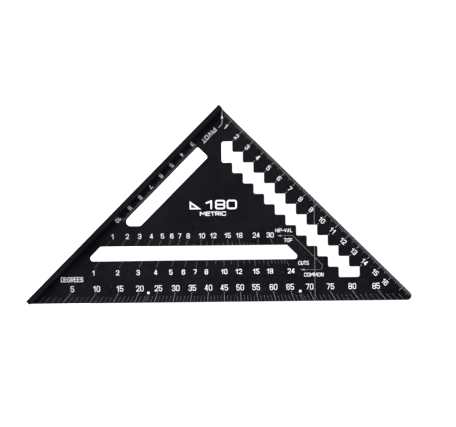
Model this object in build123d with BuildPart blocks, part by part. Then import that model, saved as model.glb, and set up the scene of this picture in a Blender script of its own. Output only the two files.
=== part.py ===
"""Speed square for roof and siding work, in the 180 mm (7 inch) class.

A flat triangular blade stands in the groove of a T fence. The origin is the pivot, where the
ruler edge meets the fence's register faces. +X runs along the fence, +Z up the ruler edge,
and y = 0 is the blade's mid-plane, with the lettered face towards -Y.

Two skewed coordinates follow the rafter scales: p runs along the hypotenuse, from the fence
end to the ruler end, and q is the distance from the pivot, square to the hypotenuse.
"""
import os
from functools import lru_cache
from math import atan, cos, degrees, hypot, radians, sqrt, tan

from build123d import *

os.makedirs("parts", exist_ok=True)

# --- Driving dimensions, in millimetres ------------------------------------------------------
LEG = 183.4  # pivot to the hypotenuse, along either leg
BLADE_THICK = 3.0
TIP_RADIUS = 2.9  # where the ruler edge meets the hypotenuse
EDGE_BREAK = 0.25  # chamfer round the blade's faces and openings
FENCE_WIDTH = 22.0  # across both lips
FENCE_THICK = 3.2
FENCE_ROUND = 0.3
GROOVE_DEPTH = 1.2  # how deep the blade's foot sits in the fence
GROOVE_LEAD = 0.2  # chamfer at the groove's mouth
CM = 10.0

# Scribing stair: a zigzag opening whose points seat a pencil at each centimetre
NOTCH_DEPTH = 11.1  # ruler edge to the notch points
NOTCH_FIRST, NOTCH_LAST = 2, 14  # centimetres
STAIR_WIDTH = 10.0  # notch points to the teeth opposite
STAIR_ROUND = 1.2
STAIR_END_ROUND = 1.5

# Fence window: the straight opening beside the fence
WINDOW_START = 29.8
WINDOW_LOW, WINDOW_HIGH = 6.0, 15.75
WINDOW_REACH = 78.1  # q of its slanted end
WINDOW_ROUNDS = (1.2, 3.0, 2.0, 1.6)  # from the start's low corner, anticlockwise

# Rafter window: the opening parallel to the hypotenuse
RAFTER_NEAR, RAFTER_FAR = 91.8, 101.5  # q of its long sides
RAFTER_FENCE_GAP = 6.25
RAFTER_RULER_GAP = 34.9
RAFTER_ROUNDS = (1.0, 2.0)  # blunt corners, sharp corners

# Markings: white filled etching, drawn as a skin on the blade
INK = 0.06
RIM = 0.28  # bare metal between a mark and an edge
DEGREE_LINE = 0.08  # line widths
RAFTER_LINE = 0.09
THIN_LINE = 0.14
MEDIUM_LINE = 0.18
BOLD_LINE = 0.25
DIGIT_GAP = 0.11  # between characters, as a share of their height

ROOT2 = sqrt(2)
HYPOTENUSE = LEG / ROOT2  # q of the long edge
FACE_OFFSET = BLADE_THICK / 2

# Planes of the lettered face. Their local axes are (x, z), (p, -q) and (z, -x).
FACE = Plane.XZ.offset(FACE_OFFSET)
RAFTER_FACE = Plane(origin=(0, -FACE_OFFSET, 0), x_dir=(-1, 0, 1), z_dir=(0, -1, 0))
RULER_FACE = Plane(origin=(0, -FACE_OFFSET, 0), x_dir=(0, 0, 1), z_dir=(0, -1, 0))
# The plain face's plane, with local axes (-z, -x)
BACK_RULER_FACE = Plane(origin=(0, FACE_OFFSET, 0), x_dir=(0, 0, -1), z_dir=(0, 1, 0))


# --- Blade -----------------------------------------------------------------------------------
def stair_outline():
    """Corners of the scribing stair in (x, z): up the notched side and back down the teeth."""
    half = CM / 2
    notch_side = [(NOTCH_DEPTH + half, NOTCH_FIRST * CM - half)]
    for cm in range(NOTCH_FIRST, NOTCH_LAST + 1):
        notch_side += [(NOTCH_DEPTH, cm * CM), (NOTCH_DEPTH + half, cm * CM + half)]
    tooth = NOTCH_DEPTH + STAIR_WIDTH
    tooth_side = [(tooth + half, NOTCH_LAST * CM - half)]
    for cm in range(NOTCH_LAST - 1, NOTCH_FIRST, -1):
        tooth_side += [(tooth, cm * CM), (tooth + half, cm * CM - half)]
    return notch_side + tooth_side


def vertex_near(sketch, x, y):
    """The sketch's vertex nearest to (x, y)."""
    return sketch.vertices().sort_by_distance((x, y, 0))[0]


with BuildPart() as blade:
    with BuildSketch(Plane.XZ) as plate:
        with BuildLine():
            Polyline((0, 0), (LEG, 0), (0, LEG), close=True)
        make_face()
        fillet(vertex_near(plate, 0, LEG), TIP_RADIUS)
    extrude(amount=FACE_OFFSET, both=True)

    with BuildSketch(Plane.XZ) as stair:
        corners = stair_outline()
        with BuildLine():
            Polyline(*corners, close=True)
        make_face()
        ends = [corners[0], corners[2 * (NOTCH_LAST - NOTCH_FIRST) + 2]]
        fillet([vertex_near(stair, *end) for end in ends], STAIR_END_ROUND)
        elbows = stair.vertices().filter_by_position(Axis.X, NOTCH_DEPTH + 1, LEG)
        stair_elbows = [v for v in elbows if min(hypot(v.X - x, v.Y - y) for x, y in corners) < 0.1]
        fillet(stair_elbows, STAIR_ROUND)
    extrude(amount=BLADE_THICK, both=True, mode=Mode.SUBTRACT)

    with BuildSketch(Plane.XZ) as window:
        reach = WINDOW_REACH * ROOT2
        corners = [
            (WINDOW_START, WINDOW_LOW),
            (reach - WINDOW_LOW, WINDOW_LOW),
            (reach - WINDOW_HIGH, WINDOW_HIGH),
            (WINDOW_START, WINDOW_HIGH),
        ]
        with BuildLine():
            Polyline(*corners, close=True)
        make_face()
        for corner, radius in zip(corners, WINDOW_ROUNDS):
            fillet(vertex_near(window, *corner), radius)
    extrude(amount=BLADE_THICK, both=True, mode=Mode.SUBTRACT)

    with BuildSketch(Plane.XZ) as rafter_window:
        near, far = RAFTER_NEAR * ROOT2, RAFTER_FAR * ROOT2
        corners = [
            (near - RAFTER_FENCE_GAP, RAFTER_FENCE_GAP),
            (RAFTER_RULER_GAP, near - RAFTER_RULER_GAP),
            (RAFTER_RULER_GAP, far - RAFTER_RULER_GAP),
            (far - RAFTER_FENCE_GAP, RAFTER_FENCE_GAP),
        ]
        with BuildLine():
            Polyline(*corners, close=True)
        make_face()
        blunt, sharp = corners[:2], corners[2:]
        fillet([vertex_near(rafter_window, *corner) for corner in blunt], RAFTER_ROUNDS[0])
        fillet([vertex_near(rafter_window, *corner) for corner in sharp], RAFTER_ROUNDS[1])
    extrude(amount=BLADE_THICK, both=True, mode=Mode.SUBTRACT)

    rims = blade.faces().filter_by(Axis.Y).edges()
    chamfer([edge for edge in rims if edge.center().Z > EDGE_BREAK], EDGE_BREAK)
    with BuildSketch(Plane.XY) as foot:
        with Locations((LEG / 2, 0)):
            Rectangle(LEG, BLADE_THICK)
    extrude(amount=-GROOVE_DEPTH)


# --- Fence -----------------------------------------------------------------------------------
with BuildPart() as fence:
    with BuildSketch(Plane.YZ) as section:
        Rectangle(FENCE_WIDTH, FENCE_THICK, align=(Align.CENTER, Align.MAX))
        Rectangle(BLADE_THICK, GROOVE_DEPTH, align=(Align.CENTER, Align.MAX), mode=Mode.SUBTRACT)
    extrude(amount=LEG)
    outer_edges = [
        edge
        for edge in fence.edges()
        if abs(edge.center().Y) > BLADE_THICK or edge.center().Z < -FENCE_THICK + 0.01
    ]
    fillet(outer_edges, FENCE_ROUND)
    mouth = fence.edges().filter_by(Axis.X).filter_by_position(Axis.Y, -FACE_OFFSET, FACE_OFFSET)
    chamfer(mouth.group_by(Axis.Z)[-1], GROOVE_LEAD)


# --- Lettering -------------------------------------------------------------------------------
# Each character is its width and its pen strokes, for a cap height of 1. A stroke is a list of
# points on the pen's centre line, the radius of its corners, and whether it closes on itself.
PEN = 0.125
LIGHT_PEN, HEAVY_PEN = 0.11, 0.145
SIZE_PEN = 0.17
LEFT, RIGHT = PEN / 2, 0.64 - PEN / 2
LOW, MID, HIGH = PEN / 2, 0.5, 1 - PEN / 2
BOWL = 0.19
BOX = [(LEFT, LOW), (RIGHT, LOW), (RIGHT, HIGH), (LEFT, HIGH)]
STEM = ([(LEFT, 0), (LEFT, 1)], 0, False)
RIGHT_STEM = ([(RIGHT, 0), (RIGHT, 1)], 0, False)
CHARACTERS = {
    "0": (0.64, [(BOX, BOWL, True)]),
    "1": (0.56, [([(0.40, 0), (0.40, 1)], 0, False), ([(0.08, 0.67), (0.40, 0.88)], 0, False)]),
    "2": (
        0.64,
        [
            ([(LEFT, 0.66), (LEFT, HIGH), (RIGHT, HIGH), (RIGHT, 0.57), (LEFT, LOW)], 0.17, False),
            ([(0, LOW), (0.64, LOW)], 0, False),
        ],
    ),
    "3": (
        0.64,
        [
            ([(LEFT, 0.70), (LEFT, HIGH), (RIGHT, HIGH), (RIGHT, MID), (0.22, MID)], 0.17, False),
            ([(0.22, MID), (RIGHT, MID), (RIGHT, LOW), (LEFT, LOW), (LEFT, 0.30)], 0.17, False),
        ],
    ),
    "4": (
        0.64,
        [
            ([(0.44, 0), (0.44, 1)], 0, False),
            ([(0, 0.29), (0.64, 0.29)], 0, False),
            ([(0.10, 0.30), (0.39, 0.94)], 0, False),
        ],
    ),
    "5": (
        0.64,
        [
            ([(0.60, HIGH), (LEFT, HIGH), (LEFT, 0.48)], 0, False),
            ([(LEFT, 0.565), (RIGHT, 0.565), (RIGHT, LOW), (LEFT, LOW), (LEFT, 0.30)], BOWL, False),
        ],
    ),
    "6": (
        0.64,
        [
            ([(LEFT, LOW), (RIGHT, LOW), (RIGHT, 0.56), (LEFT, 0.56)], BOWL, True),
            ([(LEFT, 0.33), (LEFT, HIGH), (RIGHT, HIGH), (RIGHT, 0.70)], BOWL, False),
        ],
    ),
    "7": (0.64, [([(0, HIGH), (0.64, HIGH)], 0, False), ([(RIGHT, 0.88), (0.24, 0.034)], 0, False)]),
    "8": (
        0.64,
        [
            ([(LEFT, MID), (RIGHT, MID), (RIGHT, HIGH), (LEFT, HIGH)], 0.17, True),
            ([(LEFT, LOW), (RIGHT, LOW), (RIGHT, MID), (LEFT, MID)], 0.17, True),
        ],
    ),
    "9": (
        0.64,
        [
            ([(LEFT, 0.44), (RIGHT, 0.44), (RIGHT, HIGH), (LEFT, HIGH)], BOWL, True),
            ([(RIGHT, 0.67), (RIGHT, LOW), (LEFT, LOW), (LEFT, 0.30)], BOWL, False),
        ],
    ),
    "-": (0.36, [([(0, 0.44), (0.36, 0.44)], 0, False)]),
    "A": (
        0.64,
        [
            ([(0.09, 0.02), (0.30, 0.98)], 0, False),
            ([(0.55, 0.02), (0.34, 0.98)], 0, False),
            ([(0.16, 0.27), (0.48, 0.27)], 0, False),
        ],
    ),
    "C": (0.64, [([(RIGHT, 0.67), (RIGHT, HIGH), (LEFT, HIGH), (LEFT, LOW), (RIGHT, LOW), (RIGHT, 0.33)],
                  BOWL, False)]),
    "D": (0.64, [STEM, ([(0, HIGH), (RIGHT, HIGH), (RIGHT, LOW), (0, LOW)], BOWL, False)]),
    "E": (0.56, [STEM] + [([(LEFT, y), (0.55, y)], 0, False) for y in (LOW, MID, HIGH)]),
    "G": (
        0.64,
        [
            ([(RIGHT, 0.68), (RIGHT, HIGH), (LEFT, HIGH), (LEFT, LOW), (RIGHT, LOW), (RIGHT, 0.52)],
             BOWL, False),
            ([(0.34, 0.46), (0.64, 0.46)], 0, False),
        ],
    ),
    "H": (0.64, [STEM, RIGHT_STEM, ([(LEFT, MID), (RIGHT, MID)], 0, False)]),
    "I": (PEN, [STEM]),
    "L": (0.54, [STEM, ([(LEFT, LOW), (0.54, LOW)], 0, False)]),
    "M": (
        0.80,
        [
            STEM,
            ([(0.80 - LEFT, 0), (0.80 - LEFT, 1)], 0, False),
            ([(0.15, 0.93), (0.38, 0.33)], 0, False),
            ([(0.65, 0.93), (0.42, 0.33)], 0, False),
        ],
    ),
    "N": (0.64, [STEM, RIGHT_STEM, ([(0.15, 0.92), (0.49, 0.08)], 0, False)]),
    "O": (0.64, [(BOX, BOWL, True)]),
    "P": (0.62, [STEM, ([(0, HIGH), (RIGHT, HIGH), (RIGHT, 0.43), (0, 0.43)], BOWL, False)]),
    "R": (
        0.64,
        [
            STEM,
            ([(0, HIGH), (RIGHT, HIGH), (RIGHT, 0.47), (0, 0.47)], BOWL, False),
            ([(0.33, 0.47), (0.52, 0.04)], 0, False),
        ],
    ),
    "S": (0.64, [([(RIGHT, 0.70), (RIGHT, HIGH), (LEFT, HIGH), (LEFT, MID), (RIGHT, MID), (RIGHT, LOW),
                   (LEFT, LOW), (LEFT, 0.30)], BOWL, False)]),
    "T": (0.62, [([(0, HIGH), (0.62, HIGH)], 0, False), ([(0.31, 0), (0.31, HIGH)], 0, False)]),
    "U": (0.64, [([(LEFT, 1), (LEFT, LOW), (RIGHT, LOW), (RIGHT, 1)], BOWL, False)]),
    "V": (0.64, [([(0.09, 0.98), (0.30, 0.02)], 0, False), ([(0.55, 0.98), (0.34, 0.02)], 0, False)]),
}


@lru_cache(maxsize=None)
def character(char, height, stretch, pen):
    """One character as a sketch, its low left corner at the origin."""
    with BuildSketch(Plane.XY, mode=Mode.PRIVATE) as shape:
        for points, radius, closed in CHARACTERS[char][1]:
            route = [(x * height * stretch, y * height) for x, y in points]
            with BuildLine():
                if radius:
                    FilletPolyline(*route, radius=radius * height, close=closed)
                else:
                    Polyline(*route)
            trace(line_width=pen * height)
    return shape.sketch


def text_width(text, height, stretch):
    """Length of a line of text."""
    letters = sum(CHARACTERS[char][0] for char in text) * stretch
    return (letters + (len(text) - 1) * DIGIT_GAP) * height


def write(text, height, centre, baseline, stretch=1.0, pen=PEN):
    """Add a line of text to the sketch in hand, centred on a local x."""
    x = centre - text_width(text, height, stretch) / 2
    for char in text:
        with Locations((x, baseline)):
            add(character(char, height, stretch, pen))
        x += (CHARACTERS[char][0] * stretch + DIGIT_GAP) * height


def write_between(text, height, start, end, baseline, pen=PEN):
    """Add a line of text that fills the length from start to end."""
    gaps = (len(text) - 1) * DIGIT_GAP * height
    stretch = (end - start - gaps) / (text_width(text, height, 1.0) - gaps)
    write(text, height, (start + end) / 2, baseline, stretch, pen)


# --- Ruler along the short leg ---------------------------------------------------------------
RULER_TICKS = {"mm": 2.05, "half": 3.1, "cm": 4.05}  # how deep each reaches from the edge
RULER_FIRST, RULER_LAST = 3, 177  # mm
RULER_DIGITS = 3.4
RULER_BASELINE = 8.45  # from the edge to the digits' feet
RULER_LAST_NUMBER = 16
RULER_SHIFTS = {RULER_LAST_NUMBER: -0.8}  # off its tick
NOTCH_TICK_START = 9.5


def tick_groups(first, last):
    """Millimetre positions from first to last, by kind of tick."""
    groups = {"mm": [], "half": [], "cm": []}
    for mm in range(first, last + 1):
        kind = "cm" if mm % 10 == 0 else "half" if mm % 5 == 0 else "mm"
        groups[kind].append(mm)
    return groups


def ruler_marks(sign):
    """Ticks of the ruler, on a face whose local x is sign times z."""
    for kind, places in tick_groups(RULER_FIRST, RULER_LAST).items():
        depth = RULER_TICKS[kind]
        with Locations(*[(sign * mm, -(RIM + depth) / 2) for mm in places]):
            Rectangle(BOLD_LINE if kind == "cm" else THIN_LINE, depth - RIM)


def ruler_numbers(sign):
    """Numbers of the ruler, standing on their baseline with their heads towards the edge."""
    for number in range(1, RULER_LAST_NUMBER + 1):
        centre = number * CM + RULER_SHIFTS.get(number, 0)
        write(str(number), RULER_DIGITS, sign * centre, -RULER_BASELINE)


with BuildPart() as ruler_ticks:
    with BuildSketch(RULER_FACE):
        ruler_marks(1)
    extrude(amount=INK)

with BuildPart() as ruler_numerals:
    with BuildSketch(RULER_FACE):
        ruler_numbers(1)
    extrude(amount=INK)

with BuildPart() as notch_ticks:
    with BuildSketch(RULER_FACE):
        notch_end = NOTCH_DEPTH - RIM
        places = [cm * CM for cm in range(NOTCH_FIRST, NOTCH_LAST + 1)]
        with Locations(*[(place, -(NOTCH_TICK_START + notch_end) / 2) for place in places]):
            Rectangle(BOLD_LINE, notch_end - NOTCH_TICK_START)
    extrude(amount=INK)

with BuildPart() as back_ruler_ticks:
    with BuildSketch(BACK_RULER_FACE):
        ruler_marks(-1)
    extrude(amount=INK)

with BuildPart() as back_ruler_numerals:
    with BuildSketch(BACK_RULER_FACE):
        ruler_numbers(-1)
    extrude(amount=INK)


# --- Rule along the fence window -------------------------------------------------------------
WINDOW_TICKS = {"mm": 4.05, "half": 3.1, "cm": 2.4}  # z where each ends
WINDOW_TICK_TOP = 5.7
WINDOW_DIGITS = 2.9
WINDOW_BASELINE = 0.75
WINDOW_NUMBERS = range(3, 11)
WINDOW_NUMBER_SHIFT = 0.15  # from its tick to a number's left side

with BuildPart() as window_ticks:
    with BuildSketch(FACE):
        for kind, places in tick_groups(WINDOW_NUMBERS[0] * 10, WINDOW_NUMBERS[-1] * 10).items():
            low = WINDOW_TICKS[kind]
            with Locations(*[(mm, (low + WINDOW_TICK_TOP) / 2) for mm in places]):
                Rectangle(THIN_LINE, WINDOW_TICK_TOP - low)
    extrude(amount=INK)

with BuildPart() as window_numerals:
    with BuildSketch(FACE):
        for number in WINDOW_NUMBERS:
            width = text_width(str(number), WINDOW_DIGITS, 1.0)
            centre = number * CM + WINDOW_NUMBER_SHIFT + width / 2
            write(str(number), WINDOW_DIGITS, centre, WINDOW_BASELINE, pen=LIGHT_PEN)
    extrude(amount=INK)


# --- Scales read on rays from the pivot -------------------------------------------------------
def ray_tick(angle, near, far, width):
    """A tick on the ray at this angle from the fence, between two levels of q."""
    lean = radians(angle - 45)
    middle = (near + far) / 2
    place = Location((middle * tan(lean), -middle, 0), (0, 0, angle - 135))
    with Locations(place):
        Rectangle((far - near) / cos(lean), width)


def ray_place(angle, q):
    """p where the ray at this angle from the fence crosses a level of q."""
    return q * tan(radians(angle - 45))


DEGREE_NEAR, DEGREE_FIVE_NEAR, DEGREE_HALF_NEAR = 125.3, 122.7, 124.5
DEGREE_LAST = 88
DEGREE_DIGITS = 4.0
DEGREE_BASELINE = 122.0
DEGREE_READ = 121.5  # q where a number stands on its ray
DEGREE_STRETCH = 0.90
DEGREE_SHIFTS = {10: -0.7, 60: 0.5, 70: 0.6, 75: 1.1, 80: 0.8}  # off the ray, along p
PITCH_DOTS = (22.5, 67.5)  # degrees
DOT_RADIUS = 0.88
DOT_LEVEL = 123.0

with BuildPart() as degree_ticks:
    with BuildSketch(RAFTER_FACE):
        for degree in range(1, DEGREE_LAST + 1):
            near = DEGREE_NEAR if degree % 5 else DEGREE_FIVE_NEAR
            ray_tick(degree, near, HYPOTENUSE - RIM, DEGREE_LINE if degree % 5 else MEDIUM_LINE)
        for degree in PITCH_DOTS:
            ray_tick(degree, DEGREE_HALF_NEAR, HYPOTENUSE - RIM, DEGREE_LINE)
    extrude(amount=INK)

with BuildPart() as degree_numerals:
    with BuildSketch(RAFTER_FACE):
        for degree in range(5, DEGREE_LAST, 5):
            centre = ray_place(degree, DEGREE_READ) + DEGREE_SHIFTS.get(degree, 0)
            write(str(degree), DEGREE_DIGITS, centre, -DEGREE_BASELINE, DEGREE_STRETCH, LIGHT_PEN)
    extrude(amount=INK)

with BuildPart() as pitch_dots:
    with BuildSketch(RAFTER_FACE):
        with Locations(*[(ray_place(degree, DOT_LEVEL), -DOT_LEVEL) for degree in PITCH_DOTS]):
            Circle(DOT_RADIUS)
    extrude(amount=INK)

# Rafter scales: the rise of a roof for a run of 10, or of 10 times root 2 for a hip or valley.
# Long ticks carry a number, and the short ones between them don't.
NUMBERED_RISES = (1, 2, 3, 4, 5, 6, 7, 8, 10, 12, 15, 18, 24)
PLAIN_RISES = (9, 11, 13, 14, 16, 17, 19, 20, 21, 22, 23)
RAFTER_DIGITS = 3.35
COMMON_LONG, COMMON_SHORT = 105.8, 104.2  # q where the ticks below the window end
COMMON_READ, COMMON_BASELINE = 107.2, 111.0
COMMON_SHIFTS = {6: -0.5, 7: -0.5, 24: 0.9}
HIP_LONG, HIP_SHORT = 87.6, 90.2  # q where the ticks above the window start
HIP_READ, HIP_BASELINE = 86.0, 86.75
HIP_LAST = 30
HIP_SHIFTS = {3: -0.5, 4: -0.4, 7: -0.5, 24: -0.4, HIP_LAST: 0.3}


def rise_angle(rise, run):
    """Angle from the fence of a roof's slope, in degrees."""
    return degrees(atan(rise / run))


with BuildPart() as common_ticks:
    with BuildSketch(RAFTER_FACE):
        for rise in NUMBERED_RISES:
            ray_tick(rise_angle(rise, CM), RAFTER_FAR + RIM, COMMON_LONG, RAFTER_LINE)
        for rise in PLAIN_RISES:
            ray_tick(rise_angle(rise, CM), RAFTER_FAR + RIM, COMMON_SHORT, RAFTER_LINE)
    extrude(amount=INK)

with BuildPart() as common_numerals:
    with BuildSketch(RAFTER_FACE):
        for rise in NUMBERED_RISES:
            centre = ray_place(rise_angle(rise, CM), COMMON_READ) + COMMON_SHIFTS.get(rise, 0)
            write(str(rise), RAFTER_DIGITS, centre, -COMMON_BASELINE, pen=HEAVY_PEN)
    extrude(amount=INK)

with BuildPart() as hip_ticks:
    with BuildSketch(RAFTER_FACE):
        for rise in NUMBERED_RISES + (HIP_LAST,):
            ray_tick(rise_angle(rise, CM * ROOT2), HIP_LONG, RAFTER_NEAR - RIM, RAFTER_LINE)
        for rise in PLAIN_RISES:
            ray_tick(rise_angle(rise, CM * ROOT2), HIP_SHORT, RAFTER_NEAR - RIM, RAFTER_LINE)
    extrude(amount=INK)

with BuildPart() as hip_numerals:
    with BuildSketch(RAFTER_FACE):
        for rise in NUMBERED_RISES + (HIP_LAST,):
            centre = ray_place(rise_angle(rise, CM * ROOT2), HIP_READ) + HIP_SHIFTS.get(rise, 0)
            write(str(rise), RAFTER_DIGITS, centre, -HIP_BASELINE)
    extrude(amount=INK)


# --- Captions, leaders and the size mark ------------------------------------------------------
# Word, cap height, where it starts and ends in p, and its baseline in q
CAPTIONS = (
    ("DEGREES", 3.35, -109.5, -94.7, 115.3),
    ("HIP-VAL", 2.5, 34.7, 46.1, 83.3),
    ("TOP", 2.5, 40.4, 45.9, 89.9),
    ("CUTS", 2.7, 49.9, 56.9, 105.4),
    ("COMMON", 2.6, 53.7, 66.7, 113.3),
)
PIVOT_CAPTION = ("PIVOT", 3.1, 12.9, 25.4, 4.5)  # on the face's own axes, along the fence

with BuildPart() as captions:
    with BuildSketch(RAFTER_FACE):
        for word, height, start, end, baseline in CAPTIONS:
            write_between(word, height, start, end, -baseline)
    extrude(amount=INK)

with BuildPart() as pivot_caption:
    with BuildSketch(FACE):
        write_between(*PIVOT_CAPTION, pen=LIGHT_PEN)
    extrude(amount=INK)

ARROW_LENGTH, ARROW_WIDTH = 2.8, 1.15
PIVOT_ARROW_LENGTH, PIVOT_ARROW_WIDTH = 2.5, 1.6


def arrow_head(x, y, heading, length=ARROW_LENGTH, width=ARROW_WIDTH):
    """Add an arrow head to the sketch in hand, its tip at (x, y), pointing heading degrees."""
    with Locations(Location((x, y, 0), (0, 0, heading))):
        Polygon((0, 0), (-length, width / 2), (-length, -width / 2), align=None)


# Leader round the rafter window, from the hip scale's numbers to the common scale's
LEADER_START = (35.8, 85.6)  # p and q of its arrow tips
LEADER_FINISH = (51.3, 108.6)
LEADER_BEND = 46.2  # p where it turns down past the window
LEADER_RIGHT = 65.9
LEADER_ROUNDS = [0.8, 1.0, 2.0]

with BuildPart() as scale_leader:
    with BuildSketch(RAFTER_FACE):
        top, low = -LEADER_START[1], -LEADER_FINISH[1]
        with BuildLine():
            FilletPolyline(
                (LEADER_START[0] + ARROW_LENGTH - PEN, top),
                (LEADER_BEND, top),
                (LEADER_RIGHT, top - LEADER_RIGHT + LEADER_BEND),
                (LEADER_RIGHT, low),
                (LEADER_FINISH[0] + ARROW_LENGTH - PEN, low),
                radius=LEADER_ROUNDS,
            )
        trace(line_width=THIN_LINE)
        arrow_head(LEADER_START[0], top, 180)
        arrow_head(LEADER_FINISH[0], low, 180)
    extrude(amount=INK)

# Pivot arrow, which points down a line into the pivot corner
PIVOT_LINE = [(10.8, 7.05), (7.5, 7.05), (0.75, 0.5)]
PIVOT_TIP = (2.95, 2.63)
PIVOT_HEADING = 224.1

with BuildPart() as pivot_arrow:
    with BuildSketch(FACE):
        with BuildLine():
            FilletPolyline(*PIVOT_LINE, radius=1.0)
        trace(line_width=MEDIUM_LINE)
        arrow_head(*PIVOT_TIP, PIVOT_HEADING, PIVOT_ARROW_LENGTH, PIVOT_ARROW_WIDTH)
    extrude(amount=INK)

# Level line, square to the hypotenuse: from the edge to the notches, then on from the teeth
LEVEL_LINE = 60.9
LEVEL_WIDTH = 0.16
LEVEL_SPANS = ((61.5, 78.2), (93.05, HYPOTENUSE - RIM))  # q

with BuildPart() as level_line:
    with BuildSketch(RAFTER_FACE):
        for near, far in LEVEL_SPANS:
            with Locations((LEVEL_LINE, -(near + far) / 2)):
                Rectangle(LEVEL_WIDTH, far - near)
    extrude(amount=INK)
    for crossed in (ruler_ticks, ruler_numerals, scale_leader, captions, degree_ticks):
        add(crossed.part, mode=Mode.SUBTRACT)

# Size mark in the middle of the blade: a set-square sign, the length of the scale and its kind
SIZE_MARK = ("180", 6.0, -12.6, 9.2, 67.3)
KIND_MARK = ("METRIC", 2.7, -15.8, 1.8, 71.7)
SIGN_LEFT, SIGN_SIZE, SIGN_WALL = -22.6, 7.6, 1.0

with BuildPart() as size_mark:
    with BuildSketch(RAFTER_FACE):
        for word, height, start, end, baseline in (SIZE_MARK, KIND_MARK):
            write_between(word, height, start, end, -baseline, SIZE_PEN)
        sign_foot = -SIZE_MARK[4]
        with BuildLine():
            start = (SIGN_LEFT + SIGN_WALL / 2, sign_foot + SIGN_WALL / 2)
            leg = SIGN_SIZE - 2 * SIGN_WALL
            Polyline(start, (start[0] + leg, start[1]), (start[0], start[1] + leg * 0.72), close=True)
        trace(line_width=SIGN_WALL)
    extrude(amount=INK)


# --- Labels and files -----------------------------------------------------------------------
blade.part.label = "blade"
export_step(blade.part, "parts/blade.step")
fence.part.label = "fence"
export_step(fence.part, "parts/fence.step")
ruler_ticks.part.label = "ruler_ticks"
export_step(ruler_ticks.part, "parts/ruler_ticks.step")
ruler_numerals.part.label = "ruler_numerals"
export_step(ruler_numerals.part, "parts/ruler_numerals.step")
notch_ticks.part.label = "notch_ticks"
export_step(notch_ticks.part, "parts/notch_ticks.step")
back_ruler_ticks.part.label = "back_ruler_ticks"
export_step(back_ruler_ticks.part, "parts/back_ruler_ticks.step")
back_ruler_numerals.part.label = "back_ruler_numerals"
export_step(back_ruler_numerals.part, "parts/back_ruler_numerals.step")
window_ticks.part.label = "window_ticks"
export_step(window_ticks.part, "parts/window_ticks.step")
window_numerals.part.label = "window_numerals"
export_step(window_numerals.part, "parts/window_numerals.step")
degree_ticks.part.label = "degree_ticks"
export_step(degree_ticks.part, "parts/degree_ticks.step")
degree_numerals.part.label = "degree_numerals"
export_step(degree_numerals.part, "parts/degree_numerals.step")
pitch_dots.part.label = "pitch_dots"
export_step(pitch_dots.part, "parts/pitch_dots.step")
common_ticks.part.label = "common_ticks"
export_step(common_ticks.part, "parts/common_ticks.step")
common_numerals.part.label = "common_numerals"
export_step(common_numerals.part, "parts/common_numerals.step")
hip_ticks.part.label = "hip_ticks"
export_step(hip_ticks.part, "parts/hip_ticks.step")
hip_numerals.part.label = "hip_numerals"
export_step(hip_numerals.part, "parts/hip_numerals.step")
captions.part.label = "captions"
export_step(captions.part, "parts/captions.step")
pivot_caption.part.label = "pivot_caption"
export_step(pivot_caption.part, "parts/pivot_caption.step")
scale_leader.part.label = "scale_leader"
export_step(scale_leader.part, "parts/scale_leader.step")
pivot_arrow.part.label = "pivot_arrow"
export_step(pivot_arrow.part, "parts/pivot_arrow.step")
level_line.part.label = "level_line"
export_step(level_line.part, "parts/level_line.step")
size_mark.part.label = "size_mark"
export_step(size_mark.part, "parts/size_mark.step")
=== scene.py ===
"""Looks, light and camera for the speed square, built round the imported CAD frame. Metres."""

from math import radians, sqrt

import bpy
from mathutils import Matrix, Vector


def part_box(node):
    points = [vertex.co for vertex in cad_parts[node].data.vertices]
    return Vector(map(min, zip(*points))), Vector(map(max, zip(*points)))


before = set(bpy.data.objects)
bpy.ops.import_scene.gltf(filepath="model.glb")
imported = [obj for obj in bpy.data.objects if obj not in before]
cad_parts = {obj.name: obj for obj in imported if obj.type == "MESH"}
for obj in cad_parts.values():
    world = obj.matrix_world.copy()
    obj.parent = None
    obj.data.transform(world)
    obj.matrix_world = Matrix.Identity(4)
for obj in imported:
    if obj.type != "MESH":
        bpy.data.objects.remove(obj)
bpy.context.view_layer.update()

MM = 0.001
FACE_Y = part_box("blade")[0].y  # the lettered face
FLOOR_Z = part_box("fence")[0].z


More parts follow.
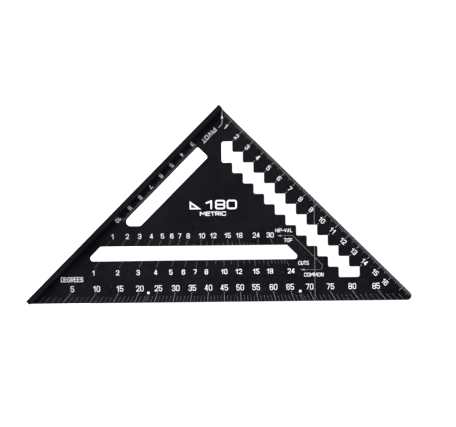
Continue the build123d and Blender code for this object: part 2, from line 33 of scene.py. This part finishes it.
# --- Node helpers ----------------------------------------------------------------------------
class Nodes:
    """A new node material: adds nodes and joins them by socket."""

    def __init__(self, name):
        self.material = bpy.data.materials.new(name)
        self.material.use_nodes = True
        self.tree = self.material.node_tree
        self.tree.nodes.clear()
        self.out = self.tree.nodes.new("ShaderNodeOutputMaterial")
        self.coords = self.tree.nodes.new("ShaderNodeTexCoord").outputs["Object"]
        self.geometry = self.tree.nodes.new("ShaderNodeNewGeometry")

    def add(self, kind, inputs=None, **settings):
        node = self.tree.nodes.new(kind)
        for key, value in settings.items():
            setattr(node, key, value)
        for key, value in (inputs or {}).items():
            self.set(node.inputs[key], value)
        return node

    def set(self, socket, value):
        if isinstance(value, bpy.types.NodeSocket):
            self.tree.links.new(value, socket)
        else:
            socket.default_value = value

    def noise(self, scale, detail=2.0, roughness=0.5, vector=None):
        inputs = {
            "Vector": vector or self.coords,
            "Scale": scale,
            "Detail": detail,
            "Roughness": roughness,
        }
        return self.add("ShaderNodeTexNoise", inputs).outputs["Fac"]

    def stretched(self, scale):
        node = self.add("ShaderNodeMapping", {"Vector": self.coords, "Scale": scale})
        return node.outputs["Vector"]

    def remap(self, value, low, high, to_low=0.0, to_high=1.0):
        inputs = {
            "Value": value,
            "From Min": low,
            "From Max": high,
            "To Min": to_low,
            "To Max": to_high,
        }
        node = self.add("ShaderNodeMapRange", inputs, interpolation_type="SMOOTHSTEP")
        return node.outputs["Result"]

    def math(self, operation, a, b=0.0):
        node = self.add("ShaderNodeMath", {0: a, 1: b}, operation=operation, use_clamp=False)
        return node.outputs[0]

    def mix(self, factor, a, b):
        node = self.add("ShaderNodeMix", {"Factor": factor}, data_type="RGBA")
        self.set(node.inputs[6], a)
        self.set(node.inputs[7], b)
        return node.outputs[2]

    def bump(self, height, distance, strength=1.0, normal=None):
        inputs = {"Height": height, "Distance": distance, "Strength": strength}
        if normal:
            inputs["Normal"] = normal
        return self.add("ShaderNodeBump", inputs).outputs["Normal"]

    def finish(self, **inputs):
        shader = self.add("ShaderNodeBsdfPrincipled")
        for key, value in inputs.items():
            self.set(shader.inputs[key.replace("_", " ")], value)
        self.tree.links.new(shader.outputs["BSDF"], self.out.inputs["Surface"])
        return self.material


# --- Materials -------------------------------------------------------------------------------
# Scales of the anodised surface's patterns, per metre
CLOUDS = 38.0
PATCHES = 24.0  # where dust gathers
SMUDGES = 85.0
RUBS = 210.0
MOTTLE = 430.0
SPECKS = 900.0
GRAIN = 5200.0
BLADE_GRAIN_DEPTH = 0.012 * MM
FENCE_GRAIN_DEPTH = 0.010 * MM
BLADE_MARKS = (300.0, 2600.0, 300.0)  # fine in Y, so lines run round the blade's walls
FENCE_MARKS = (8.0, 1500.0, 1500.0)  # coarse in X, so lines run along the fence
DARK = (0.0016, 0.0014, 0.0040, 1.0)
PALE = (0.0034, 0.0030, 0.0074, 1.0)
DUST = (0.045, 0.044, 0.047, 1.0)
WORN = (0.085, 0.083, 0.085, 1.0)
RUB_WIDTH = 0.35 * MM
MARK_DEPTH = 0.006 * MM
# Scales of the etching's patterns, per metre
FILL_COVER = 1500.0
FILL_BROAD = 90.0
FILL_GRAIN = 4200.0
FILL_GRAIN_DEPTH = 0.01 * MM


def grey(level):
    return (level, level, level * 1.01, 1.0)


def anodised(name, lift, grain_depth, marks_scale):
    """Satin black anodised aluminium: blasted grain, faint clouding, dust and rubbed edges."""
    n = Nodes(name)
    clouds = n.noise(CLOUDS, 4.0, 0.55)
    mottle = n.noise(MOTTLE, 3.0, 0.6)
    grain = n.noise(GRAIN, 2.0, 0.6)
    colour = n.mix(n.remap(clouds, 0.30, 0.70), DARK, PALE)
    colour = n.mix(n.math("MULTIPLY", n.remap(mottle, 0.50, 0.75), 0.8), colour, PALE)
    colour = n.mix(n.math("MULTIPLY", n.remap(grain, 0.45, 0.75), 0.35), colour, PALE)
    smudges = n.remap(n.noise(SMUDGES, 5.0, 0.62), 0.62, 0.80)
    colour = n.mix(n.math("MULTIPLY", smudges, 0.12), colour, DUST)
    # Specks of dust, gathered in patches
    specks = n.remap(n.noise(SPECKS, 1.0, 0.5), 0.71, 0.80)
    patches = n.remap(n.noise(PATCHES), 0.44, 0.66, 0.0, 0.9)
    colour = n.mix(n.math("MULTIPLY", specks, patches), colour, DUST)
    # Handling rubs the sharp edges a little paler
    bevel = n.add("ShaderNodeBevel", {"Radius": RUB_WIDTH}, samples=4)
    turned = n.add(
        "ShaderNodeVectorMath",
        {0: bevel.outputs["Normal"], 1: n.geometry.outputs["Normal"]},
        operation="DOT_PRODUCT",
    )
    edge = n.remap(turned.outputs["Value"], 0.995, 0.90)
    rub = n.remap(n.noise(RUBS, 3.0, 0.65), 0.42, 0.78, 0.0, 0.45)
    colour = n.mix(n.math("MULTIPLY", edge, rub), colour, WORN)
    rough = n.remap(clouds, 0.25, 0.75, 0.40, 0.50)
    rough = n.math("ADD", rough, n.remap(grain, 0.3, 0.7, -0.03, 0.03))
    rough = n.math("ADD", rough, n.remap(mottle, 0.30, 0.70, -0.05, 0.05))
    normal = n.bump(grain, grain_depth)
    # Tool marks, on the walls that run through the thickness or along the extrusion
    marks = n.noise(1.0, vector=n.stretched(marks_scale))
    normal = n.bump(marks, MARK_DEPTH, 0.6, normal)
    return n.finish(
        Base_Color=colour, Roughness=rough, Normal=normal, IOR=1.5, Specular_IOR_Level=lift
    )


def etched(name, thin, full):
    """White filled etching: slightly uneven, a touch grey where the fill is thin."""
    n = Nodes(name)
    cover = n.remap(n.noise(FILL_COVER, 3.0, 0.6), 0.25, 0.60)
    broad = n.remap(n.noise(FILL_BROAD), 0.30, 0.70, 0.75, 1.0)
    colour = n.mix(n.math("MULTIPLY", cover, broad), grey(thin), grey(full))
    normal = n.bump(n.noise(FILL_GRAIN), FILL_GRAIN_DEPTH)
    return n.finish(Base_Color=colour, Roughness=0.62, Normal=normal, IOR=1.45)


blade_metal = anodised("blade_anodised_black", 0.45, BLADE_GRAIN_DEPTH, BLADE_MARKS)
fence_metal = anodised("fence_anodised_black", 0.35, FENCE_GRAIN_DEPTH, FENCE_MARKS)
white_etch = etched("etched_white", 0.72, 0.92)
numeral_etch = etched("etched_numeral", 0.60, 0.79)  # a fine stroke takes less of the fill
hairline_etch = etched("etched_hairline", 0.20, 0.30)

FINISHES = {
    "blade": blade_metal,
    "fence": fence_metal,
    "ruler_numerals": numeral_etch,
    "back_ruler_numerals": numeral_etch,
    "degree_numerals": numeral_etch,
    "common_numerals": numeral_etch,
    "hip_numerals": numeral_etch,
    "captions": numeral_etch,
    "scale_leader": hairline_etch,
    "level_line": hairline_etch,
}

for name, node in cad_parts.items():
    plain = hairline_etch if name.endswith("_ticks") else white_etch
    for slot in node.material_slots:
        slot.material = FINISHES.get(name, plain)


# --- Camera ----------------------------------------------------------------------------------
VIEW_DISTANCE = 0.95  # lens to the lettered face
VIEW_WIDTH = 0.30604  # what the frame takes in across the face
VIEW_CENTRE = Vector((0.04758, FACE_Y, 0.0519))
ROLL = radians(-0.64)  # of the hypotenuse from level
SENSOR = 36.0  # millimetres

along = Vector((-1, 0, 1)) / sqrt(2)
down = Vector((1, 0, 1)) / sqrt(2)
spin = Matrix.Rotation(-ROLL, 3, "Y")
right = spin @ along
up = -(spin @ down)
lens = bpy.data.cameras.new("camera")
lens.sensor_width = SENSOR
lens.lens = SENSOR * VIEW_DISTANCE / VIEW_WIDTH
camera = bpy.data.objects.new("camera", lens)
bpy.context.collection.objects.link(camera)
backward = Vector((0, -1, 0))
axes = Matrix((right, up, backward)).transposed()
place = VIEW_CENTRE + backward * VIEW_DISTANCE
camera.matrix_world = Matrix.Translation(place) @ axes.to_4x4()
bpy.context.scene.camera = camera


# --- Floor, world and lights -----------------------------------------------------------------
REACH = 12.0  # half the floor's side
FLOOR_DARK = (0.90, 0.90, 0.90, 1.0)
FLOOR_LIGHT = (0.93, 0.93, 0.93, 1.0)
floor_corners = [
    (x * REACH, y * REACH, FLOOR_Z) for x, y in ((-1, -1), (1, -1), (1, 1), (-1, 1))
]
floor_mesh = bpy.data.meshes.new("floor")
floor_mesh.from_pydata(floor_corners, [], [(0, 1, 2, 3)])
floor = bpy.data.objects.new("floor", floor_mesh)
bpy.context.collection.objects.link(floor)
paper = Nodes("floor_paper")
paper_colour = paper.mix(paper.noise(3.0), FLOOR_DARK, FLOOR_LIGHT)
floor_mesh.materials.append(paper.finish(Base_Color=paper_colour, Roughness=0.8))
floor.visible_shadow = False  # the front and back lights stand partly below its level
floor.visible_glossy = False

BACKDROP = 1.1  # strength of the white that the camera sees
AMBIENT = 0.03  # strength of the light that the world gives
world = bpy.data.worlds.new("studio")
bpy.context.scene.world = world
world.use_nodes = True
tree = world.node_tree
tree.nodes.clear()
path = tree.nodes.new("ShaderNodeLightPath")
seen = tree.nodes.new("ShaderNodeBackground")
seen.inputs["Color"].default_value = (1, 1, 1, 1)
seen.inputs["Strength"].default_value = BACKDROP
ambient = tree.nodes.new("ShaderNodeBackground")
ambient.inputs["Color"].default_value = (0.95, 0.95, 1, 1)
ambient.inputs["Strength"].default_value = AMBIENT
switch = tree.nodes.new("ShaderNodeMixShader")
world_out = tree.nodes.new("ShaderNodeOutputWorld")
tree.links.new(path.outputs["Is Camera Ray"], switch.inputs[0])
tree.links.new(ambient.outputs[0], switch.inputs[1])
tree.links.new(seen.outputs[0], switch.inputs[2])
tree.links.new(switch.outputs[0], world_out.inputs["Surface"])

MIDDLE = Vector((0.06, 0.0, 0.06))  # of the tool
SKY_STRENGTH = 4.6
SKY_SPREAD = radians(60)
LOW = -0.60  # height of the low lights from the middle
FILL_POWER = 9.5  # watts
# Side of the blade, its direction in Y, power of its low lights, power of its raised lights
SIDES = (("front", -1, 1.3, 0.2), ("back", 1, 2.6, 3.0))


def add_light(name, kind, offset, energy, glossy=True):
    """A light of this kind, offset from the tool's middle and facing it."""
    lamp = bpy.data.lights.new(name, kind)
    lamp.energy = energy
    thing = bpy.data.objects.new(name, lamp)
    bpy.context.collection.objects.link(thing)
    thing.location = MIDDLE + Vector(offset)
    thing.rotation_euler = (-Vector(offset)).to_track_quat("-Z", "Y").to_euler()
    thing.visible_camera = False
    thing.visible_glossy = glossy
    return lamp


def softbox(name, offset, size, energy, glossy=True):
    lamp = add_light(name, "AREA", offset, energy, glossy)
    lamp.shape = "SQUARE"
    lamp.size = size


sky = add_light("sky", "SUN", (0, 0, 1), SKY_STRENGTH, glossy=False)
sky.angle = SKY_SPREAD
# The low lights put a sheen on the blade and throw the lip's shadow on it. The raised lights put
# a sheen on the fence's top, and are faint in front, where they would fill that shadow.
for name, side, low, raised in SIDES:
    softbox(name + "_key", (0.0, side * 1.04, LOW), 0.42, low)
    softbox(name + "_left", (-0.85, side * 0.77, LOW), 0.7, low)
    softbox(name + "_right", (0.85, side * 0.77, LOW), 0.7, low)
    softbox(name + "_fill", (0.0, side * 0.9, 0.75), 0.9, FILL_POWER, glossy=False)
    softbox(name + "_high_left", (-0.80, side * 0.62, 0.62), 0.6, raised)
    softbox(name + "_high_right", (0.80, side * 0.62, 0.62), 0.6, raised)

bpy.context.scene.view_settings.view_transform = "Standard"
